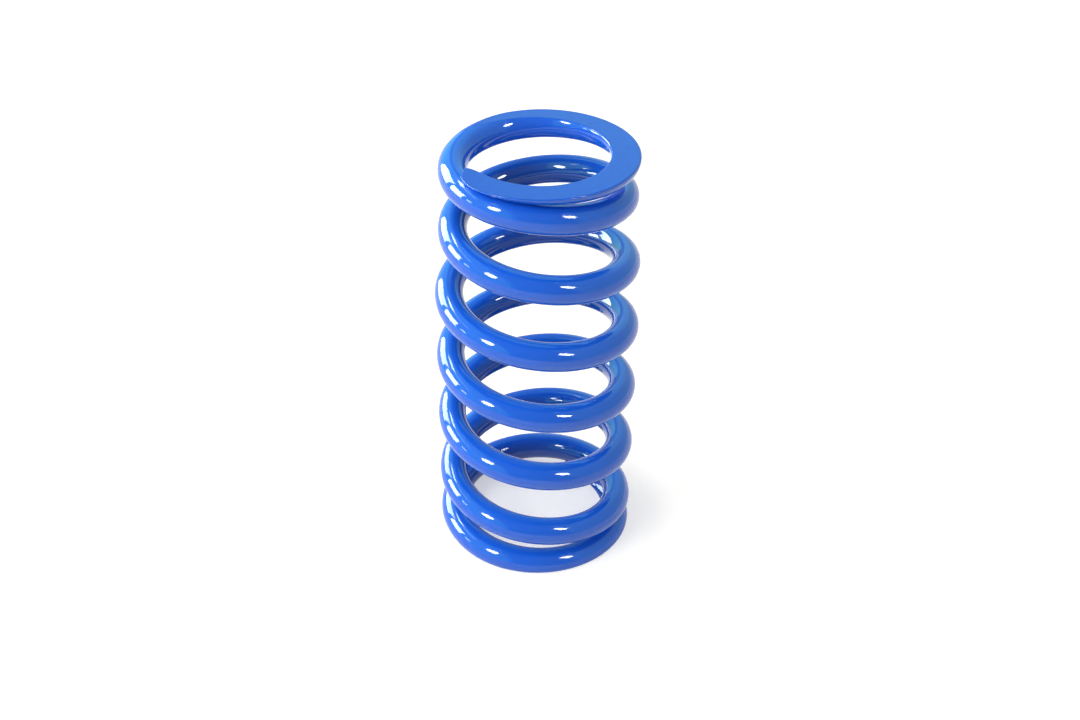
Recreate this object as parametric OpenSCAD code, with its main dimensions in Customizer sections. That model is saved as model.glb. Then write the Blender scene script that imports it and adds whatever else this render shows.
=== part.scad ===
// Compression spring of a shock absorber: one round wire, wound left-handed, with
// both ends closed and ground flat. The coil's axis is Z and the lower ground face
// lies at Z = 0. Sizes are in millimetres, angles in degrees seen from above.

/* [Wire] */
// Diameter of the wire
wire_d = 11; // [8:0.5:13]

/* [Coil] */
// Height between the ground faces, with no load
free_length = 170; // [150:1:220]
// Clear diameter inside the lower and middle turns
inside_d = 57; // [50:0.5:66]
// Clear diameter inside the narrower turns at the top
top_inside_d = 52; // [46:0.5:60]
// Turns of wire from tip to tip
total_turns = 7.595; // [6:0.005:8.5]
// Turns at the top that keep the narrower diameter
narrow_turns = 1.5; // [1:0.05:2]
// Turns over which the coil widens below them
widening_turns = 1.4; // [0.6:0.05:2.5]

/* [Lower end] */
// Turns wound close at the lower end
lower_closed_turns = 1.04; // [0.7:0.01:1.2]
// Turns over which the pitch opens above them
lower_opening_turns = 0.25; // [0.2:0.01:0.6]
// Gap between the lower tip and the turn above it
lower_tip_gap = 1.2; // [0.2:0.1:2]
// Thickness of wire that the grinding leaves at the lower tip
lower_tip_t = 2.2; // [1:0.1:4]

/* [Upper end] */
// Turns wound close at the upper end
upper_closed_turns = 0.95; // [0.7:0.01:1.2]
// Turns over which the pitch opens below them
upper_opening_turns = 0.4; // [0.2:0.01:0.6]
// Gap between the upper tip and the turn below it
upper_tip_gap = 0.2; // [0.1:0.1:2]
// Thickness of wire that the grinding leaves at the upper tip
upper_tip_t = 2.1; // [1:0.1:4]
// Direction in which the middle of the upper tip lies
upper_tip_angle = 212; // [0:1:360]
// Angle by which its slanted end runs on at the inside and stops short at the outside
upper_tip_slant = 10; // [0:1:20]
// Width to which the tip is rolled before it is ground
upper_tip_w = 13; // [11:0.5:14]
// Turns over which the wire spreads to that width
upper_spread_turns = 0.22; // [0.1:0.01:0.4]
// Length of wire over which its end is rounded off
upper_tip_nose = 10; // [2:1:15]

/* [Hidden] */

// Flat sides round the wire, and rings of points along each turn of it
wire_sides = 18;
rings_per_turn = 36;
// Turns over which the rings lean to meet the slanted end
leaning_turns = 0.15;
// Share of the wire's thickness that the rounding takes off at the very end
nose_loss = 0.23;

wire_r = wire_d / 2;
coil_r = (inside_d + wire_d) / 2;
top_coil_r = (top_inside_d + wire_d) / 2;
outside_r = max(coil_r, top_coil_r) + wire_r;
last_ring = ceil(total_turns * rings_per_turn);

// Rise for each turn in the closed ends
lower_pitch = wire_d + lower_tip_gap;
upper_pitch = wire_d + upper_tip_gap;

// Turns, counted from the lower tip, where the coil changes
opens_at = lower_closed_turns;
closes_at = total_turns - upper_closed_turns - upper_opening_turns;
narrows_at = total_turns - narrow_turns - widening_turns;

// Height of the wire's centre at the lower tip, and its rise from there to the upper tip
tip_z = lower_tip_t - wire_r;
whole_rise = free_length - upper_tip_t + wire_r - tip_z;

// An S-shaped step from 0 to 1, and the area under it to x when it is w wide
function step(u) = let (v = min(max(u, 0), 1)) v * v * (3 - 2 * v);
function step_area(x, w) =
    x <= 0 ? 0 :
    x >= w ? x - w / 2 :
    let (u = x / w) w * (u * u * u - u * u * u * u / 2);

// Share of the turns below t that have opened, and that have closed again
function opened(t) = step_area(t - opens_at, lower_opening_turns);
function closed(t) = step_area(t - closes_at, upper_opening_turns);

// The pitch of the open turns fills the height that the closed ends leave
closed_rise = lower_pitch * (total_turns - opened(total_turns)) + upper_pitch * closed(total_turns);
open_pitch = (whole_rise - closed_rise) / (opened(total_turns) - closed(total_turns));

function height(t) =
    tip_z + lower_pitch * t + (open_pitch - lower_pitch) * opened(t) + (upper_pitch - open_pitch) * closed(t);
function radius(t) = coil_r + (top_coil_r - coil_r) * step((t - narrows_at) / widening_turns);
function angle(t) = upper_tip_angle + 360 * (total_turns - t);

// The wire's centre line, and its directions along, away from the axis and up
function outward(t) = [cos(angle(t)), sin(angle(t)), 0];
function centre(t) = radius(t) * outward(t) + [0, 0, height(t)];
function along(t) = let (dt = 0.001, v = centre(t + dt) - centre(t - dt)) v / norm(v);
function upward(t) = let (v = cross(along(t), outward(t))) v / norm(v);

// How far the rolled tip spreads the wire sideways, and what its rounded end leaves of the wire
function spread(t) = 1 + (upper_tip_w / wire_d - 1) * step(1 - (total_turns - t) / upper_spread_turns);
function nose(t) =
    let (u = max(1 - 2 * PI * top_coil_r * (total_turns - t) / upper_tip_nose, 0))
        1 - nose_loss * u * u;

// A point on the wire's surface, at the angle a round a section of that half width and half height
function wire_point(t, a, half_w, half_h) =
    centre(t) + half_w * cos(a) * outward(t) + half_h * sin(a) * upward(t);

// Turns by which a ring's point moves along the wire to make the slanted end
function lean(t, a) = -cos(a) * upper_tip_slant / 360 * step(1 + (t - total_turns) / leaning_turns);

function wire_ring(t) = [
    for (k = [0 : wire_sides - 1])
        let (a = 360 * k / wire_sides, half_h = wire_r * nose(t))
            wire_point(t + lean(t, a), a, half_h * spread(t), half_h)
];

// The wire as wound, before grinding
module wound_wire() {
    points = [for (i = [0 : last_ring]) each wire_ring(total_turns * i / last_ring)];
    end = last_ring * wire_sides;
    start_cap = [for (k = [1 : wire_sides - 2]) [0, k, k + 1]];
    end_cap = [for (k = [1 : wire_sides - 2]) [end, end + k + 1, end + k]];
    walls = [
        for (i = [0 : last_ring - 1], k = [0 : wire_sides - 1])
            let (
                low = i * wire_sides + k,
                low_next = i * wire_sides + (k + 1) % wire_sides,
                high = low + wire_sides,
                high_next = low_next + wire_sides
            )
                each [[low, high, high_next], [low, high_next, low_next]]
    ];
    polyhedron(points, concat(start_cap, walls, end_cap));
}

// What the grinding wheel takes off past one face
module ground_off(z, side) {
    translate([0, 0, z + side * wire_d])
        cube([3 * outside_r, 3 * outside_r, 2 * wire_d], center = true);
}

module coil_spring() {
    color("royalblue")
        difference() {
            wound_wire();
            ground_off(0, -1);
            ground_off(free_length, 1);
        }
}

coil_spring();
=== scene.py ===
import math

import bpy
from mathutils import Matrix, Vector


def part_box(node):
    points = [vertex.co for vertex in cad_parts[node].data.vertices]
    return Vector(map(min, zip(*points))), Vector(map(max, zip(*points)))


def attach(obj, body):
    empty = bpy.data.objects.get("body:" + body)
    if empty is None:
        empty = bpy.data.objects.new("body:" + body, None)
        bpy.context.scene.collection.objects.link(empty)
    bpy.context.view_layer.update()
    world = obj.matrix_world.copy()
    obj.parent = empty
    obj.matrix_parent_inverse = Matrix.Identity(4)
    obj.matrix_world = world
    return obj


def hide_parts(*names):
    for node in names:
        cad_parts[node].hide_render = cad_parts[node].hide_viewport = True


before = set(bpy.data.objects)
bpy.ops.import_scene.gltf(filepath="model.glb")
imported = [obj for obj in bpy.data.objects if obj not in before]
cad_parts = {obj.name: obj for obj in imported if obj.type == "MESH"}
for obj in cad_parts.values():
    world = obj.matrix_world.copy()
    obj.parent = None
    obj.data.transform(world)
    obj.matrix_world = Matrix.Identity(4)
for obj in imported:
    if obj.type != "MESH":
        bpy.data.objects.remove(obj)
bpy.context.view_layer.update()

SPRING_LOW, SPRING_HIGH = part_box("coil_spring")
MM = 0.001

# Radius of the wire, of the coil to the wire's middle, and of its narrower top turns
WIRE_R = 5.5 * MM
COIL_R = 34 * MM
TOP_COIL_R = 31.5 * MM
FREE_LENGTH = SPRING_HIGH.z - SPRING_LOW.z

# Winding, in turns counted from the lower tip
TOTAL_TURNS = 7.595
NARROW_TURNS = 1.5
WIDENING_TURNS = 1.4
LOWER_CLOSED_TURNS = 1.04
LOWER_OPENING_TURNS = 0.25
UPPER_CLOSED_TURNS = 0.95
UPPER_OPENING_TURNS = 0.4

# Tips: the gap to the next turn, the wire that grinding leaves, and where the upper one ends
LOWER_TIP_GAP = 1.2 * MM
UPPER_TIP_GAP = 0.2 * MM
LOWER_TIP_T = 2.2 * MM
UPPER_TIP_T = 2.1 * MM
UPPER_TIP_ANGLE = math.radians(212)
UPPER_TIP_SLANT = math.radians(10)

# The upper tip is rolled wider before grinding, and its very end is rounded off
UPPER_TIP_W = 13 * MM
UPPER_SPREAD_TURNS = 0.22
UPPER_TIP_NOSE = 10 * MM
NOSE_LOSS = 0.23

# Turns over which the rings lean to meet the slanted upper end
LEANING_TURNS = 0.15

# Part of a turn, to each side, over which the wire's direction is taken
DIRECTION_TURNS = 0.001

# Fineness of the wire's mesh: points round it, and rings of them along it, closer at the upper tip
WIRE_SIDES = 48
RINGS_PER_TURN = 100
TIP_TURNS = 0.15
TIP_RINGS = 40

# Places of the points across half a ground face, from its middle to its edge
FACE_PLACES = (0, 0.45, 0.93, 1)
FACE_POINTS = len(FACE_PLACES) - 1

# Points from the face's middle to the far side of the edge's rounding, and the angle round the wire
# that they take up: evenly spread without grinding, and gathered as the wire nears the wheel
EDGE_POINTS = 7
EVEN_REACH = math.tau * EDGE_POINTS / WIRE_SIDES
LEAST_REACH = math.radians(4)
GATHERING_HEIGHT = 3 * MM

# Rounding that deburring and paint leave on a ground edge, blunt or sharp, and on the tips
BLUNT_ROUNDING = 0.85 * MM
SHARP_ROUNDING = 0.25 * MM
TIP_ROUNDING = 0.2 * MM

# Level of the grinding, up from the wire's middle, at which an edge is sharp and at which it is blunt
SHARP_LEVEL = -3 * MM
BLUNT_LEVEL = 2 * MM

# Faces that meet at less than this angle are shaded as one surface
SMOOTH_ANGLE = math.radians(50)


class Node:
    """A shader socket that takes part in sums, and adds the Math nodes that they need."""

    def __init__(self, tree, socket):
        self.tree = tree
        self.socket = socket

    def maths(self, operation, a, b):
        return self.tree.add("ShaderNodeMath", {"operation": operation}, {0: a, 1: b})[0]

    def __add__(self, other):
        return self.maths("ADD", self, other)

    __radd__ = __add__

    def __sub__(self, other):
        return self.maths("SUBTRACT", self, other)

    def __rsub__(self, other):
        return self.maths("SUBTRACT", other, self)

    def __mul__(self, other):
        return self.maths("MULTIPLY", self, other)

    __rmul__ = __mul__


class Tree:
    """The nodes of one material, made one at a time."""

    def __init__(self, name):
        self.material = bpy.data.materials.new(name)
        self.material.use_nodes = True
        self.nodes = self.material.node_tree.nodes
        self.nodes.clear()

    def add(self, kind, settings, sockets):
        """Adds a node, with its settings first and then its sockets' values or links."""
        node = self.nodes.new(kind)
        for name, value in settings.items():
            setattr(node, name, value)
        for name, value in sockets.items():
            if isinstance(value, Node):
                self.material.node_tree.links.new(value.socket, node.inputs[name])
            else:
                node.inputs[name].default_value = value
        return [Node(self, socket) for socket in node.outputs]

    def ramp(self, value, low, high):
        """0 below low and 1 above high, with a soft step between."""
        return self.add(
            "ShaderNodeMapRange",
            {"interpolation_type": "SMOOTHSTEP"},
            {"Value": value, "From Min": low, "From Max": high},
        )[0]

    def noise(self, place, scale, detail):
        return self.add(
            "ShaderNodeTexNoise", {}, {"Vector": place, "Scale": scale, "Detail": detail}
        )[0]

    def mix(self, factor, a, b):
        """Colour a where the factor is 0, and b where it is 1."""
        outputs = self.add("ShaderNodeMix", {"data_type": "RGBA"}, {0: factor, 6: a, 7: b})
        return outputs[2]


def srgb(red, green, blue):
    """A colour as seen on a screen, from 0 to 255, as the linear colour that a shader takes."""
    def linear(level):
        share = level / 255
        return share / 12.92 if share <= 0.04045 else ((share + 0.055) / 1.055) ** 2.4
    return (linear(red), linear(green), linear(blue), 1)


# The winding

def step(u):
    """An S-shaped step from 0 to 1."""
    v = min(max(u, 0), 1)
    return v * v * (3 - 2 * v)


def step_area(x, width):
    """The area under a step of that width, up to x."""
    if x >= width:
        return x - width / 2
    u = max(x, 0) / width
    return width * (u ** 3 - u ** 4 / 2)


# Rise for each turn in the closed ends
LOWER_PITCH = 2 * WIRE_R + LOWER_TIP_GAP
UPPER_PITCH = 2 * WIRE_R + UPPER_TIP_GAP

# Turns where the coil starts to close and to narrow
CLOSES_AT = TOTAL_TURNS - UPPER_CLOSED_TURNS - UPPER_OPENING_TURNS
NARROWS_AT = TOTAL_TURNS - NARROW_TURNS - WIDENING_TURNS

# Height of the wire's middle at the lower tip, and its rise from there to the upper tip
TIP_Z = LOWER_TIP_T - WIRE_R
WHOLE_RISE = FREE_LENGTH - UPPER_TIP_T + WIRE_R - TIP_Z


def opened(t):
    """How many turns, up to t, have opened."""
    return step_area(t - LOWER_CLOSED_TURNS, LOWER_OPENING_TURNS)


def closed(t):
    """How many turns, up to t, have closed again."""
    return step_area(t - CLOSES_AT, UPPER_OPENING_TURNS)


# The pitch of the open turns fills the height that the closed ends leave
LOWER_RISE = LOWER_PITCH * (TOTAL_TURNS - opened(TOTAL_TURNS))
UPPER_RISE = UPPER_PITCH * closed(TOTAL_TURNS)
OPEN_TURNS = opened(TOTAL_TURNS) - closed(TOTAL_TURNS)
OPEN_PITCH = (WHOLE_RISE - LOWER_RISE - UPPER_RISE) / OPEN_TURNS


def height(t):
    """The height of the wire's middle."""
    opening = (OPEN_PITCH - LOWER_PITCH) * opened(t)
    closing = (UPPER_PITCH - OPEN_PITCH) * closed(t)
    return SPRING_LOW.z + TIP_Z + LOWER_PITCH * t + opening + closing


def radius(t):
    return COIL_R + (TOP_COIL_R - COIL_R) * step((t - NARROWS_AT) / WIDENING_TURNS)


def angle(t):
    """The direction from the axis, which falls as the left-handed wire climbs."""
    return UPPER_TIP_ANGLE + math.tau * (TOTAL_TURNS - t)


def outward(t):
    return Vector((math.cos(angle(t)), math.sin(angle(t)), 0))


def centre(t):
    return radius(t) * outward(t) + Vector((0, 0, height(t)))


def upward(t):
    """The way up, square to the wire."""
    ahead = centre(t + DIRECTION_TURNS) - centre(t - DIRECTION_TURNS)
    return ahead.cross(outward(t)).normalized()


def spread(t):
    """How far the rolled tip widens the wire."""
    return 1 + (UPPER_TIP_W / (2 * WIRE_R) - 1) * step(1 - (TOTAL_TURNS - t) / UPPER_SPREAD_TURNS)


def nose(length):
    """What the rounded end leaves of the wire at that length from it."""
    return 1 - NOSE_LOSS * min(max(1 - length / UPPER_TIP_NOSE, 0), 1) ** 2


# Turns at each ring of the wire
COARSE_RINGS = round((TOTAL_TURNS - TIP_TURNS) * RINGS_PER_TURN)
RING_TURNS = [(TOTAL_TURNS - TIP_TURNS) * ring / COARSE_RINGS for ring in range(COARSE_RINGS)]
for tip_ring in range(TIP_RINGS + 1):
    RING_TURNS.append(TOTAL_TURNS - TIP_TURNS * (1 - tip_ring / TIP_RINGS))


def ground_section(size, level, points):
    """A point of the wire's section, across and up, that many points from the middle of its top.

    The section is a circle of that size, cut off at that level with its two edges rounded.
    """
    bluntness = step((level - SHARP_LEVEL) / (BLUNT_LEVEL - SHARP_LEVEL))
    rounding = SHARP_ROUNDING + (BLUNT_ROUNDING - SHARP_ROUNDING) * bluntness
    if level < size:
        reach = max(math.acos((level - rounding) / (size - rounding)), LEAST_REACH)
    else:
        reach = max(EVEN_REACH * min((level - size) / GATHERING_HEIGHT, 1), LEAST_REACH)
    if points >= EDGE_POINTS:
        share = (points - EDGE_POINTS) / (WIRE_SIDES / 2 - EDGE_POINTS)
        turn = reach + (math.pi - reach) * share
        return size * math.sin(turn), size * math.cos(turn)
    if level >= size:
        turn = reach * points / EDGE_POINTS
        return size * math.sin(turn), size * math.cos(turn)
    edge = (size - rounding) * math.sin(reach)
    if points <= FACE_POINTS:
        return edge * FACE_PLACES[points], level
    turn = reach * (points - FACE_POINTS) / (EDGE_POINTS - FACE_POINTS)
    return edge + rounding * math.sin(turn), level - rounding + rounding * math.cos(turn)


# The spring

def spin_wire():
    """Adds the wire's round section and spins it round the axis, all turns at one height."""
    bpy.ops.object.select_all(action="DESELECT")
    bpy.ops.mesh.primitive_circle_add(
        vertices=WIRE_SIDES,
        radius=WIRE_R,
        location=(COIL_R, 0, 0),
        rotation=(math.pi / 2, 0, 0),
    )
    wire = bpy.context.object
    wire.name = "spring_wire"
    bpy.ops.object.transform_apply(location=True, rotation=True, scale=True)
    bpy.ops.object.mode_set(mode="EDIT")
    bpy.ops.mesh.select_all(action="SELECT")
    bpy.ops.mesh.spin(
        steps=len(RING_TURNS) - 1,
        angle=math.tau * RING_TURNS[-1],
        center=(0, 0, 0),
        axis=(0, 0, 1),
        use_auto_merge=False,
    )
    bpy.ops.object.mode_set(mode="OBJECT")
    return wire


def wound_place(ring_t, across, up):
    """Where a point of the spun section, across and up from its middle, lies in the wound coil.

    The lower half of the turns is ground from below, and the upper half from above.
    """
    way = -1 if ring_t < TOTAL_TURNS / 2 else 1
    ground_z = SPRING_LOW.z if way < 0 else SPRING_HIGH.z
    from_face = abs(math.remainder(math.atan2(up, across) - way * math.pi / 2, math.tau))
    points = round(from_face / math.tau * WIRE_SIDES)
    size = WIRE_R * nose(math.tau * TOP_COIL_R * (TOTAL_TURNS - ring_t))

    def section(t):
        level = way * (ground_z - height(t)) / upward(t).z
        side, top = ground_section(size, level, points)
        return math.copysign(side, across), way * top

    slant = UPPER_TIP_SLANT / math.tau * step(1 + (ring_t - TOTAL_TURNS) / LEANING_TURNS)
    t = ring_t - slant * section(ring_t)[0] / size
    side, top = section(t)
    return centre(t) + spread(ring_t) * side * outward(t) + top * upward(t)


def wind(wire):
    """Lifts the spun wire into the coil, ring by ring, and leaves its ends ground flat."""
    for ring, t in enumerate(RING_TURNS):
        for vertex in wire.data.vertices[ring * WIRE_SIDES:(ring + 1) * WIRE_SIDES]:
            across = math.hypot(vertex.co.x, vertex.co.y) - COIL_R
            vertex.co = wound_place(t, across, vertex.co.z)


def close_tips():
    """Closes the wire's two ends and rounds their rims."""
    bpy.ops.object.mode_set(mode="EDIT")
    bpy.ops.mesh.select_all(action="SELECT")
    bpy.ops.mesh.fill_holes(sides=0)
    bpy.ops.mesh.select_all(action="SELECT")
    bpy.ops.mesh.normals_make_consistent(inside=False)
    bpy.ops.mesh.select_mode(type="FACE")
    bpy.ops.mesh.select_all(action="DESELECT")
    bpy.ops.mesh.select_face_by_sides(number=WIRE_SIDES, type="EQUAL")
    bpy.ops.mesh.select_mode(type="EDGE")
    bpy.ops.mesh.region_to_loop()
    bpy.ops.mesh.bevel(offset=TIP_ROUNDING, segments=2, affect="EDGES", clamp_overlap=False)
    bpy.ops.object.mode_set(mode="OBJECT")


def make_spring():
    """The whole wire, wound, ground and closed."""
    wire = spin_wire()
    wind(wire)
    close_tips()
    bpy.ops.object.shade_smooth_by_angle(angle=SMOOTH_ANGLE)
    return wire


# The paint

# Blues of the gloss paint, of the painted shade on the coil's inner side, and of the ground faces
GLOSS_BLUES = (srgb(22, 91, 206), srgb(27, 98, 216))
PAINTED_SHADE_BLUE = srgb(20, 71, 152)
FACE_BLUES = (srgb(0, 67, 182), srgb(2, 83, 199))
GLOSS_ROUGHNESS = 0.05
FACE_ROUGHNESS = 0.28

# Distance from a ground face at which its paint begins, and at which it is full
FACE_PAINT_BEGINS = 0.2 * MM
FACE_PAINT_FULL = 0.02 * MM

# Depth below the upper face at which the painted shade on the inner side starts to fade, and at which
# it is gone
SHADE_FADE_DEPTH = 20 * MM
SHADE_END_DEPTH = 8 * MM

# Waves in a metre of the gloss paint's clouds, the faces' mottle and the paint's uneven skin
CLOUD_SCALE = 45
MOTTLE_SCALE = 420
SKIN_SCALE = 500
SKIN_DEPTH = 0.1 * MM
SKIN_STRENGTH = 0.025


def blue_enamel():
    """Gloss enamel on the wire, darkened on the coil's inner side as painted shade, and the same
    paint, thinner and duller, on the ground faces.
    """
    tree = Tree("blue_enamel")
    place = tree.add("ShaderNodeTexCoord", {}, {})[3]
    x, y, z = tree.add("ShaderNodeSeparateXYZ", {}, {0: place})
    on_top = tree.ramp(z, SPRING_HIGH.z - FACE_PAINT_BEGINS, SPRING_HIGH.z - FACE_PAINT_FULL)
    on_bottom = 1 - tree.ramp(z, SPRING_LOW.z + FACE_PAINT_FULL, SPRING_LOW.z + FACE_PAINT_BEGINS)
    on_ground_face = on_top + on_bottom
    # Painted shade: the inner side of the coil gets a darker blue, which fades out near the top
    from_axis = tree.add("ShaderNodeMath", {"operation": "SQRT"}, {0: x * x + y * y})[0]
    shaded_inner_side = 1 - tree.ramp(from_axis, TOP_COIL_R - WIRE_R, COIL_R)
    unshaded_top = tree.ramp(z, SPRING_HIGH.z - SHADE_FADE_DEPTH, SPRING_HIGH.z - SHADE_END_DEPTH)
    cloud = tree.noise(place, CLOUD_SCALE, 2)
    gloss_blue = tree.mix(cloud, *GLOSS_BLUES)
    wire_blue_with_shade = tree.mix(shaded_inner_side * (1 - unshaded_top), gloss_blue, PAINTED_SHADE_BLUE)
    mottle = tree.noise(place, MOTTLE_SCALE, 3)
    face_blue = tree.mix(mottle, *FACE_BLUES)
    skin = tree.noise(place, SKIN_SCALE, 1)
    bump = tree.add(
        "ShaderNodeBump", {}, {"Strength": SKIN_STRENGTH, "Distance": SKIN_DEPTH, "Height": skin}
    )[0]
    roughness = GLOSS_ROUGHNESS + (FACE_ROUGHNESS - GLOSS_ROUGHNESS) * on_ground_face
    paint = tree.add(
        "ShaderNodeBsdfPrincipled",
        {},
        {
            "Base Color": tree.mix(on_ground_face, wire_blue_with_shade, face_blue),
            "Roughness": roughness,
            "Normal": bump,
        },
    )[0]
    tree.add("ShaderNodeOutputMaterial", {}, {"Surface": paint})
    return tree.material


# Floor, light and camera

# A gap keeps the floor clear of the lower ground face, and a glow lifts it to white
FLOOR_SIZE = 40
FLOOR_GAP = 0.05 * MM
FLOOR_COLOUR = (0.68, 0.67, 0.62, 1)
FLOOR_GLOW = 0.48


def make_floor():
    """A wide pale floor that shows white where nothing shades it."""
    bpy.ops.object.select_all(action="DESELECT")
    bpy.ops.mesh.primitive_plane_add(size=FLOOR_SIZE, location=(0, 0, SPRING_LOW.z - FLOOR_GAP))
    floor = bpy.context.object
    floor.name = "floor"
    tree = Tree("pale_floor")
    path = tree.add("ShaderNodeLightPath", {}, {})
    camera_ray, glossy_ray, transmission_ray = path[0], path[3], path[6]
    seen = camera_ray + glossy_ray + transmission_ray
    shaded = tree.add("ShaderNodeBsdfDiffuse", {}, {"Color": FLOOR_COLOUR})[0]
    glow = tree.add("ShaderNodeEmission", {}, {"Strength": FLOOR_GLOW * seen})[0]
    both = tree.add("ShaderNodeAddShader", {}, {0: shaded, 1: glow})[0]
    tree.add("ShaderNodeOutputMaterial", {}, {"Surface": both})
    floor.data.materials.append(tree.material)


def direction(azimuth, elevation):
    """A unit vector: azimuth 0 is towards the front, 90 to the right, in degrees."""
    turn = math.radians(azimuth)
    rise = math.radians(elevation)
    return Vector((
        math.sin(turn) * math.cos(rise), -math.cos(turn) * math.cos(rise), math.sin(rise)
    ))


MIDDLE = (SPRING_LOW + SPRING_HIGH) / 2

# Distance of the light panels from the spring's middle, in metres
PANEL_DISTANCE = 1.5

# Sizes of the panels that make up a wall's reflection, as shares of the whole
WALL_SHARES = (1, 0.85, 0.7, 0.55, 0.4)

# Colours of the lights
WHITE = (1, 1, 1)
DAYLIGHT = (0.9, 0.97, 1)
LEFT_WALL = (0.28, 1, 0.6)
RIGHT_WALL = (0.4, 0.95, 0.65)
BACK_WALL = (0, 0.7, 1)

# Brightness of the room all round
ROOM_BRIGHTNESS = 0.33


def add_panel(name, way, span, brightness, shape, tint):
    """A flat light that faces the spring.

    Its way is an azimuth and an elevation, and its span the width and height that the spring sees
    of it, all in degrees. Its brightness is what a mirror would show of it.
    """
    lamp = bpy.data.lights.new(name, "AREA")
    lamp.shape = shape
    lamp.color = tint
    lamp.size = 2 * PANEL_DISTANCE * math.tan(math.radians(span[0]) / 2)
    lamp.size_y = 2 * PANEL_DISTANCE * math.tan(math.radians(span[1]) / 2)
    area = lamp.size * lamp.size_y * (math.pi / 4 if shape == "ELLIPSE" else 1)
    lamp.energy = brightness * math.pi * area
    panel = bpy.data.objects.new(name, lamp)
    bpy.context.scene.collection.objects.link(panel)
    away = direction(*way)
    turn = away.to_track_quat("Z", "Y").to_matrix().to_4x4()
    panel.matrix_world = Matrix.Translation(MIDDLE + PANEL_DISTANCE * away) @ turn
    panel.visible_camera = False
    return panel


def add_gleam(name, way, span, brightness, shape, tint):
    """A panel that shows only as a reflection in the gloss."""
    panel = add_panel(name, way, span, brightness, shape, tint)
    panel.visible_diffuse = False


def add_lamp_gleam(name, way, span, brightness):
    add_gleam(name, way, span, brightness, "ELLIPSE", WHITE)


def add_window_gleam(name, way, span, brightness):
    add_gleam(name, way, span, brightness, "RECTANGLE", DAYLIGHT)


def add_wall_gleam(name, way, span, brightness, tint):
    """A wide reflection that fades towards its edges: smaller and smaller panels on one another."""
    for share in WALL_SHARES:
        panel_span = (share * span[0], share * span[1])
        add_gleam(name, way, panel_span, brightness / len(WALL_SHARES), "ELLIPSE", tint)


def add_soft_light(name, way, span, brightness):
    """A panel that lights surfaces and doesn't show in the gloss."""
    panel = add_panel(name, way, span, brightness, "RECTANGLE", WHITE)
    panel.visible_glossy = False


def light_scene():
    add_lamp_gleam("left_lamp_gleam", way=(-48, 36), span=(13, 21), brightness=30)
    add_lamp_gleam("right_lamp_gleam", way=(50.5, 45), span=(11, 17), brightness=30)
    add_window_gleam("near_window_gleam", way=(-98, 17), span=(20, 25), brightness=20)
    add_window_gleam("far_window_gleam", way=(-127.5, 20), span=(25, 31), brightness=13)
    add_window_gleam("high_far_window_gleam", way=(-131, 49), span=(16, 5), brightness=16)
    add_window_gleam("high_near_window_gleam", way=(-105, 49), span=(34, 3), brightness=4)
    add_window_gleam("side_window_gleam", way=(-77, 14), span=(7, 9), brightness=9)
    add_wall_gleam("right_wall_gleam", (115, 22), (130, 105), brightness=3.4, tint=RIGHT_WALL)
    add_wall_gleam("left_wall_gleam", (-95, 15), (140, 110), brightness=5.6, tint=LEFT_WALL)
    add_wall_gleam("back_wall_gleam", (-160, 42), (90, 70), brightness=2.5, tint=BACK_WALL)
    add_soft_light("ceiling_light", way=(0, 90), span=(140, 140), brightness=0.4)
    add_soft_light("window_light", way=(-95, 32), span=(80, 36), brightness=2.6)
    add_soft_light("left_lamp_light", way=(-50, 38), span=(24, 24), brightness=6.4)
    world = bpy.data.worlds.new("room")
    bpy.context.scene.world = world
    world.use_nodes = True
    background = world.node_tree.nodes["Background"]
    background.inputs["Color"].default_value = (*WHITE, 1)
    background.inputs["Strength"].default_value = ROOM_BRIGHTNESS


# Camera, from the photograph: its height angle, distance, roll and lens, and the pixel of the frame
# where the spring's middle lies
FRAME_W = 1080
FRAME_H = 720
SENSOR_W = 36
CAMERA_ELEVATION = 34.44
CAMERA_DISTANCE = 569.8 * MM
CAMERA_ROLL = math.radians(0.70)
CAMERA_LENS = 48.23
MIDDLE_X = 537.0
MIDDLE_Y = 345.4


def add_camera():
    data = bpy.data.cameras.new("camera")
    data.sensor_width = SENSOR_W
    data.lens = CAMERA_LENS
    data.shift_x = (FRAME_W / 2 - MIDDLE_X) / FRAME_W
    data.shift_y = (MIDDLE_Y - FRAME_H / 2) / FRAME_W
    camera = bpy.data.objects.new("camera", data)
    bpy.context.scene.collection.objects.link(camera)
    way = direction(0, CAMERA_ELEVATION)
    turn = way.to_track_quat("Z", "Y").to_matrix().to_4x4()
    roll = Matrix.Rotation(CAMERA_ROLL, 4, "Z")
    camera.matrix_world = Matrix.Translation(MIDDLE + CAMERA_DISTANCE * way) @ turn @ roll
    bpy.context.scene.camera = camera


spring = make_spring()
spring.data.materials.append(blue_enamel())
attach(spring, "root")
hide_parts("coil_spring")

make_floor()
light_scene()
add_camera()
bpy.context.scene.view_settings.view_transform = "Standard"
